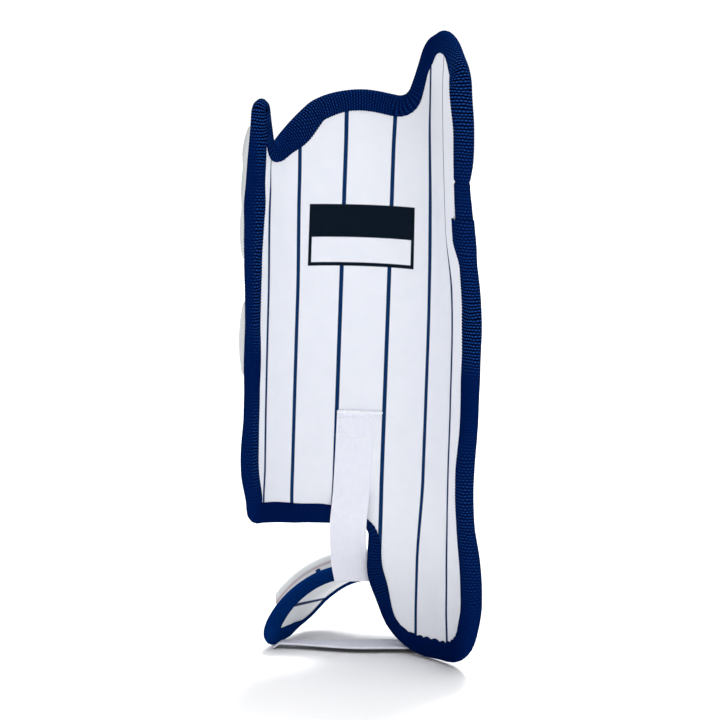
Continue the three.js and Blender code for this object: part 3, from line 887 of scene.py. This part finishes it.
def shin_ribs_and_highlight(spots):
    """How much the shin tape's ribs stand out and carry painted highlight at each spot, and how much its
    roll is flattened there.
    """
    s, z = spots.T
    right = smooth_step(s, *RIB_EDGES["right"])
    left = smooth_step(-s, *RIB_EDGES["left"])
    top = smooth_step(z, *RIB_EDGES["top"]) * (1 - right) * (1 - left)
    flank = FLANK_RIBS_AND_HIGHLIGHT["ribs_and_highlight"] * smooth_step(z, *FLANK_RIBS_AND_HIGHLIGHT["low"])
    flank = flank * (1 - smooth_step(z, *FLANK_RIBS_AND_HIGHLIGHT["high"])) * (1 - smooth_step(s, *FLANK_RIBS_AND_HIGHLIGHT["side"]))
    edge = table_curve(RIGHT_RIBS_AND_HIGHLIGHT, "ribs_and_highlight")(z) * right + table_curve(LEFT_RIBS_AND_HIGHLIGHT, "ribs_and_highlight")(z) * left
    ribs_and_highlight = np.clip(edge + table_curve(TOP_RIBS_AND_HIGHLIGHT, "ribs_and_highlight")(s) * top + flank, 0, 1)
    return ribs_and_highlight, left * (1 - smooth_step(z, *LEFT_FLATTENED))


def pinch(spots):
    """Depth of the pinch across the right edge's tape."""
    away = np.abs(spots[:, 1] - PINCH["z"])
    on_edge = smooth_step(spots[:, 0], *PINCH["edge"])
    return PINCH["depth"] * (1 - smooth_step(away, 0, PINCH["reach"])) * on_edge


def puckers(spots, travel):
    """Gathers in the tape's inner edge round the foot of the tongue."""
    low = 1 - smooth_step(spots[:, 1], *PUCKER["low"])
    right = smooth_step(spots[:, 0], *PUCKER["side"])
    beat = travel / PUCKER["pitch"]
    drift = PUCKER["drift"] * np.sin(PUCKER["drift_rate"] * beat)
    wave = np.abs(np.sin(math.pi * beat + drift))
    return PUCKER["depth"] * low * right * (wave - 0.5)


def slow_wave(wave, travel):
    """A gentle unevenness along the tape."""
    return wave.depth * np.array([noise.noise(Vector((t / wave.length, wave.row, 0))) for t in travel])


def binding(
    name, loop, flaps, start, place, node, material, gathers=None, near_share=None, swell=None, ribs_and_highlight_at=None
):
    """Tape folded over the edge of a panel, all the way round, with one end laid over the other."""
    loop = resampled(np.vstack((loop, loop[:1])), STATION_PITCH)
    first = np.argmin(((loop - start) ** 2).sum(1))
    loop = np.roll(loop, -first, axis=0)
    normals = inward_normals(loop)
    room = FREE_SHARE * free_depth(loop, normals, MOST_FLAP)
    reach = loop_smoothed(np.minimum(flaps(loop), room), FLAP_WINDOW)
    lap_end = TAPE_OVERLAP["length"]
    index = np.arange(len(loop) + round(lap_end / STATION_PITCH)) % len(loop)
    travel = np.arange(len(index)) * STATION_PITCH
    spots = loop[index]
    ways = normals[index]
    on_top = 1 - smooth_step(travel, lap_end, lap_end + TAPE_OVERLAP["ease"])
    rib_wave = np.cos(2 * math.pi * travel / RIB_PITCH)
    # How much the ribs stand out sets both their height and their painted highlight
    ribs_and_highlight, flattened = ribs_and_highlight_at(spots) if ribs_and_highlight_at else (0 * travel, 0 * travel)
    wide = reach[index] + slow_wave(TAPE_SWAY, travel) + TAPE_OVERLAP["widen"] * on_top
    wide += TAPE_LOOPS * ribs_and_highlight * rib_wave
    wide += gathers(spots, travel) if gathers else 0
    near_wide = wide * near_share(spots) if near_share else wide
    near_swell, far_swell = swell(spots) if swell else (0 * travel, 0 * travel)
    lift = RIB_HEIGHT * ribs_and_highlight * (0.5 + 0.5 * rib_wave) + TAPE_OVERLAP["lift"] * on_top
    lift += slow_wave(TAPE_UNEVEN, travel)
    lift -= pinch(spots) if ribs_and_highlight_at else 0
    section = [*TAPE_SECTION, TAPE_SECTION[0]]
    across = section_normals(section)
    inset = np.zeros((len(travel), len(section)))
    depth = np.zeros((len(travel), len(section)))
    for k, fold in enumerate(section):
        near = fold.depth < TAPE_MIDDLE
        flap = near_wide if near else wide
        swelling = (near_swell if near else far_swell) / SWELL_UNIT * fold.ribbed
        girth = 1 + swelling * (1 - SEWN_HOLD * fold.share**4)
        raised = fold.ribbed * lift
        depth[:, k] = TAPE_MIDDLE + (fold.depth - TAPE_MIDDLE) * girth + across[k, 1] * raised
        inset[:, k] = fold.share * flap + fold.inset + across[k, 0] * raised
    s = spots[:, :1] + ways[:, :1] * inset
    z = spots[:, 1:] + ways[:, 1:] * inset
    width = running(np.hypot(np.diff(inset, axis=1), np.diff(depth, axis=1)).mean(0))
    on_face = np.array([1.0 if fold.depth < 1 else FLATTENED_RIBS for fold in section])
    ribs_and_highlight_kept = ribs_and_highlight[:, None] * (1 - flattened[:, None] * (1 - on_face))
    flat = np.stack(np.broadcast_arrays(travel[:, None], width[None], ribs_and_highlight_kept), -1)
    bm = grid_mesh(place(s, z, depth), flat)
    bmesh.ops.remove_doubles(bm, verts=bm.verts[:], dist=1e-7)
    bmesh.ops.holes_fill(bm, edges=[edge for edge in bm.edges if edge.is_boundary])
    bmesh.ops.recalc_face_normals(bm, faces=bm.faces[:])
    return piece(name, bm, material, "binding", node)


def section_normals(section):
    """The way out of the tape's section at each of its points."""
    points = np.array([(fold.share * SHIN_FLAP + fold.inset, fold.depth) for fold in section[:-1]])
    along = np.roll(points, -1, axis=0) - np.roll(points, 1, axis=0)
    out = np.stack((along[:, 1], -along[:, 0]), -1)
    out /= np.linalg.norm(out, axis=1, keepdims=True)
    middle = points.mean(0)
    side = np.sign(((points - middle) * out).sum(1))[:, None]
    out = out * side
    return np.vstack((out, out[:1]))


def strap_place(offset, z, nearer):
    """Points of the connector strap, from its middle line and towards the viewer from its back face."""
    columns = ("centre", "back", "curl", "twist")
    centre, back, curl, twist = (table_curve(STRAP_COURSE, column)(z) for column in columns)
    x = centre + offset
    y = shin_place(x, z, 0 * x)[..., 1] * curl + twist * offset + back - nearer
    return np.stack((x, y, z), -1)


def connector_strap():
    """Elastic strap, sewn to the lining at its upper end, with its cut end rolled into a hem."""
    top, bottom = max(STRAP_COURSE["z"]), min(STRAP_COURSE["z"])
    half = STRAP_WIDTH / 2
    offset, z = np.meshgrid(
        np.linspace(-half, half, STRAP_GRID["columns"] + 1),
        np.linspace(bottom, top, STRAP_GRID["rows"] + 1),
        indexing="ij",
    )
    half_hem = STRAP_HEM["height"] / 2
    hem = np.sqrt(np.clip(1 - ((z - top + half_hem) / half_hem) ** 2, 0, 1))
    thickness = STRAP_THICKNESS + STRAP_HEM["rise"] * hem
    front = strap_place(offset, z, thickness)
    bm = layer_mesh(front, strap_place(offset, z, 0 * z), np.stack((offset, z), -1))
    made = piece("connector_strap_elastic", bm, ELASTIC, "elastic", "connector_strap")
    soften_edges(made)


def underfoot_strap():
    """Flat elastic strap on the floor between the two ends of the foot guard."""
    half_length = SOLE_STRAP_LENGTH / 2
    half_width = SOLE_STRAP_WIDTH / 2
    along, across = np.meshgrid(
        np.linspace(-half_length, half_length, SOLE_STRAP_GRID["columns"] + 1),
        np.linspace(-half_width, half_width, SOLE_STRAP_GRID["rows"] + 1),
        indexing="ij",
    )
    # Its left end is drawn in to the width of the seam that holds it
    taper = 1 - smooth_step(half_length + along, 0, SOLE_STRAP_TAPER["length"])
    drawn_in = SOLE_STRAP_TAPER["width"] * taper
    across = half_width - (half_width - across) * (1 - drawn_in / SOLE_STRAP_WIDTH)
    x = FOOT_X + along * math.cos(SOLE_STRAP_SLEW) - across * math.sin(SOLE_STRAP_SLEW)
    y = SOLE_STRAP_MIDDLE + along * math.sin(SOLE_STRAP_SLEW) + across * math.cos(SOLE_STRAP_SLEW)
    from_end = half_length - np.abs(along)
    bow = SOLE_STRAP_BOW["height"] * smooth_step(from_end, 0, SOLE_STRAP_BOW["ease"])
    top = np.stack((x, y, SOLE_STRAP_THICKNESS + bow), -1)
    under = np.stack((x, y, bow), -1)
    # Its face towards the floor is marked to take the elastic's painted shade
    bm = layer_mesh(top, under, np.stack((across, along), -1), far_mark=1)
    made = piece("underfoot_strap_elastic", bm, ELASTIC, "elastic", "underfoot_strap")
    soften_edges(made)


def soften_edges(made):
    """A small round on a strap's cut edges."""
    bevel = made.modifiers.new("soft edges", "BEVEL")
    bevel.width = STRAP_EDGE * MM
    bevel.segments = 2
    bevel.limit_method = "ANGLE"
    bevel.angle_limit = math.radians(50)


def stitches(name, runs, length, gap, thick):
    """Rows of sewn stitches, each a small bead of thread, along lines of points that lie on a surface."""
    bm = bmesh.new()
    size = Matrix.Diagonal((length / 2 * MM, thick / 2 * MM, thick / 2 * MM, 1))
    for line in runs:
        travel = running(np.linalg.norm(np.diff(line, axis=0), axis=1))
        count = max(1, int(travel[-1] // (length + gap)))
        for k in range(count):
            ends = [k * (length + gap), k * (length + gap) + length]
            a, b = (Vector([np.interp(end, travel, line[:, axis]) for axis in range(3)]) for end in ends)
            turn = (b - a).to_track_quat("X", "Z").to_matrix().to_4x4()
            spot = Matrix.Translation(Vector(framed((a + b) / 2)))
            bmesh.ops.create_icosphere(bm, subdivisions=1, radius=1, matrix=spot @ turn @ size)
    piece(name, bm, WHITE_THREAD, "elastic")


def strap_stitches():
    """Box of white stitches that holds the strap's upper end to the lining."""
    half = STRAP_WIDTH / 2 - STRAP_BOX["side"]
    top = max(STRAP_COURSE["z"]) - STRAP_BOX["top"]
    low = max(STRAP_COURSE["z"]) - STRAP_BOX["low"]
    points = 16
    across = np.linspace(-half, half, points)
    down = np.linspace(top, low, points)
    stand = np.full(points, STRAP_THICKNESS + STRAP_BOX["stand"])
    rows = [strap_place(across, np.full(points, z), stand) for z in (top, low)]
    sides = [strap_place(np.full(points, offset), down, stand) for offset in (-half, half)]
    stitches("strap_stitches", rows + sides, thick=STRAP_BOX["thick"], **BOX_STITCH)


def strap_hem():
    """Close row of white overlock thread over the strap's cut end, run out onto the lining at its right."""
    offset = np.linspace(HEM_ROW["left"], HEM_ROW["right"], HEM_ROW["points"])
    height = max(STRAP_COURSE["z"]) - HEM_ROW["thick"] / 2 + HEM_ROW["lift"]
    line = strap_place(offset, np.full_like(offset, height), np.full_like(offset, HEM_ROW["stand"]))
    stitches("strap_hem_thread", [line], thick=HEM_ROW["thick"], **HEM_STITCH)


def studio():
    """Pale floor, a soft sky, a broad light from behind and a soft box in front."""
    bm = bmesh.new()
    bmesh.ops.create_grid(bm, x_segments=1, y_segments=1, size=FLOOR_HALF)
    mesh = bpy.data.meshes.new("floor")
    bm.to_mesh(mesh)
    bm.free()
    floor = bpy.data.objects.new("floor", mesh)
    bpy.context.scene.collection.objects.link(floor)
    material, tree = new_material("pale studio floor")
    chalky = {"Base Color": linear("#FEFEFF"), "Roughness": 0.9, "Specular IOR Level": 0.0}
    shader = add(tree, "ShaderNodeBsdfPrincipled", chalky)
    add(tree, "ShaderNodeOutputMaterial", {"Surface": shader})
    mesh.materials.append(material)
    studio_sky()
    distant_light("behind", **BACK_LIGHT)
    area_light("front", **FRONT_LIGHT)
    bpy.context.scene.view_settings.view_transform = "Standard"


def studio_sky():
    """Pale at eye level, dim above it, and bright overhead, as under a broad ceiling light."""
    world = bpy.data.worlds.new("studio")
    world.use_nodes = True
    tree = world.node_tree
    tree.nodes.clear()
    way = add(tree, "ShaderNodeTexCoord")
    height = add(tree, "ShaderNodeSeparateXYZ", {0: way.outputs["Generated"]})
    sky = add(tree, "ShaderNodeValToRGB", {"Fac": height.outputs[2]})
    stops = sky.color_ramp.elements
    for share, tone in SKY:
        stop = stops[0] if share == 0 else stops[-1] if share == 1 else stops.new(share)
        stop.color = (tone, tone, tone, 1)
    light = add(tree, "ShaderNodeBackground", {"Color": sky, "Strength": SKY_STRENGTH})
    add(tree, "ShaderNodeOutputWorld", {"Surface": light})
    bpy.context.scene.world = world


def distant_light(name, towards, strength, softness):
    """An even light over the whole floor, from a direction and with soft shadows."""
    light = bpy.data.lights.new(name, "SUN")
    light.energy = strength
    light.angle = math.radians(softness)
    lamp = bpy.data.objects.new(name, light)
    lamp.rotation_euler = (-Vector(towards)).to_track_quat("-Z", "Y").to_euler()
    bpy.context.scene.collection.objects.link(lamp)


def area_light(name, place, aim, size, power):
    """A square soft box that points at a spot."""
    light = bpy.data.lights.new(name, "AREA")
    light.size = size
    light.energy = power
    lamp = bpy.data.objects.new(name, light)
    lamp.location = place
    lamp.rotation_euler = (Vector(aim) - Vector(place)).to_track_quat("-Z", "Y").to_euler()
    bpy.context.scene.collection.objects.link(lamp)


def camera():
    """The photograph's viewpoint, with its slight roll."""
    data = bpy.data.cameras.new("camera")
    data.sensor_width = SENSOR_WIDTH
    data.lens = SENSOR_WIDTH * CAMERA_FOCAL_PIXELS / PHOTO_SIDE
    made = bpy.data.objects.new("camera", data)
    place = Vector(framed(CAMERA_PLACE))
    aim = Vector(framed(CAMERA_AIM))
    look = (aim - place).to_track_quat("-Z", "Y").to_matrix().to_4x4()
    made.matrix_world = Matrix.Translation(place) @ look @ Matrix.Rotation(CAMERA_ROLL, 4, "Z")
    bpy.context.scene.collection.objects.link(made)
    bpy.context.scene.camera = made


camera()
studio()

SHIN_KNIT = printed_knit(
    "printed lining knit", ("#E6E9F0", "#EDEFF5"), STRIPE_PITCH / 2 + PRINT_SHIFT, name_panel=True
)
# The cover is the same white knit as the lining, in a greyer white as painted shade
SHELL_KNIT_SHADED = printed_knit("printed cover knit with painted shade", ("#CDD1D2", "#D4D7D8"), STRIPE_PITCH / 2)
FOOT_KNIT = printed_knit("printed foot knit", ("#E8EBED", "#F0F2F4"), FOOT_STRIPE)
# The foot cover is the foot lining's white knit in a greyer white as painted shade
FOOT_COVER_SHADED = printed_knit(
    "printed foot cover knit with painted shade", ("#CDD1D3", "#D4D7D9"), FOOT_COVER_STRIPE, groove_shade="#B5A9B0"
)
SHIN_TAPE = woven_tape("woven navy binding tape with painted highlight", ("#000B35", "#031D51"), "#000218", "#1B4792")
# The foot's tape takes lighter navies than the shin's: painted light, for the light that falls on it
FOOT_TAPE_PAINTED_LIGHTER = woven_tape("close navy binding tape painted lighter", ("#011444", "#042F6C"), "#01154A", "#0C428F")
ELASTIC = ribbed_elastic()
WHITE_THREAD = sewing_thread()

shin_loop = rounded_outline(SHIN_CORNERS)
foot_loop = rounded_outline(FOOT_CORNERS)
shin_inner = resampled(shin_loop + PANEL_INSET * inward_normals(shin_loop), INNER_SPACING)
foot_inner = resampled(foot_loop + PANEL_INSET * inward_normals(foot_loop), INNER_SPACING)


def level(depth):
    """The same depth all over a panel."""
    return lambda s, z: np.full_like(s, depth)


def shin_lining_face(s, z):
    """Depth of the lining's face, which swells a little away from the tape."""
    from_edge = edge_distance(shin_loop, s, z)
    return -LINING_SWELL["rise"] * smooth_step(from_edge, LINING_SWELL["start"], LINING_SWELL["end"])


lining_back = level(LINING_THICKNESS)
cover_back = level(SHELL_FACE)

lining = piece(
    "shin_lining_knit",
    panel_layer(shin_inner, SHIN_GRID, "lining_rows", shin_place, shin_lining_face, lining_back),
    SHIN_KNIT,
    "lining",
    "shin_lining",
)
shell = piece(
    "shin_shell_pads",
    panel_layer(shin_inner, SHIN_GRID, "shell_rows", shin_place, cover_back, shin_shell_face),
    SHELL_KNIT_SHADED,
    "shell",
    "shin_shell",
)
binding(
    "shin_binding_tape",
    shin_loop,
    shin_flap,
    SHIN_TAPE_START,
    shin_place,
    "shin_binding",
    SHIN_TAPE,
    gathers=puckers,
    swell=shin_swell,
    ribs_and_highlight_at=shin_ribs_and_highlight,
)

foot_lining = piece(
    "foot_lining_knit",
    panel_layer(foot_inner, FOOT_GRID, "lining_rows", foot_place, level(0.0), lining_back),
    FOOT_KNIT,
    "lining",
    "foot_lining",
)
foot_shell = piece(
    "foot_shell_pad",
    panel_layer(
        foot_inner, FOOT_GRID, "shell_rows", foot_place, cover_back, foot_shell_face, foot_pad_share
    ),
    FOOT_COVER_SHADED,
    "shell",
    "foot_shell",
)
binding(
    "foot_binding_tape",
    foot_loop,
    foot_flap,
    FOOT_TAPE_START,
    foot_place,
    "foot_binding",
    FOOT_TAPE_PAINTED_LIGHTER,
    near_share=foot_near_share,
)
connector_strap()
strap_stitches()
strap_hem()
underfoot_strap()
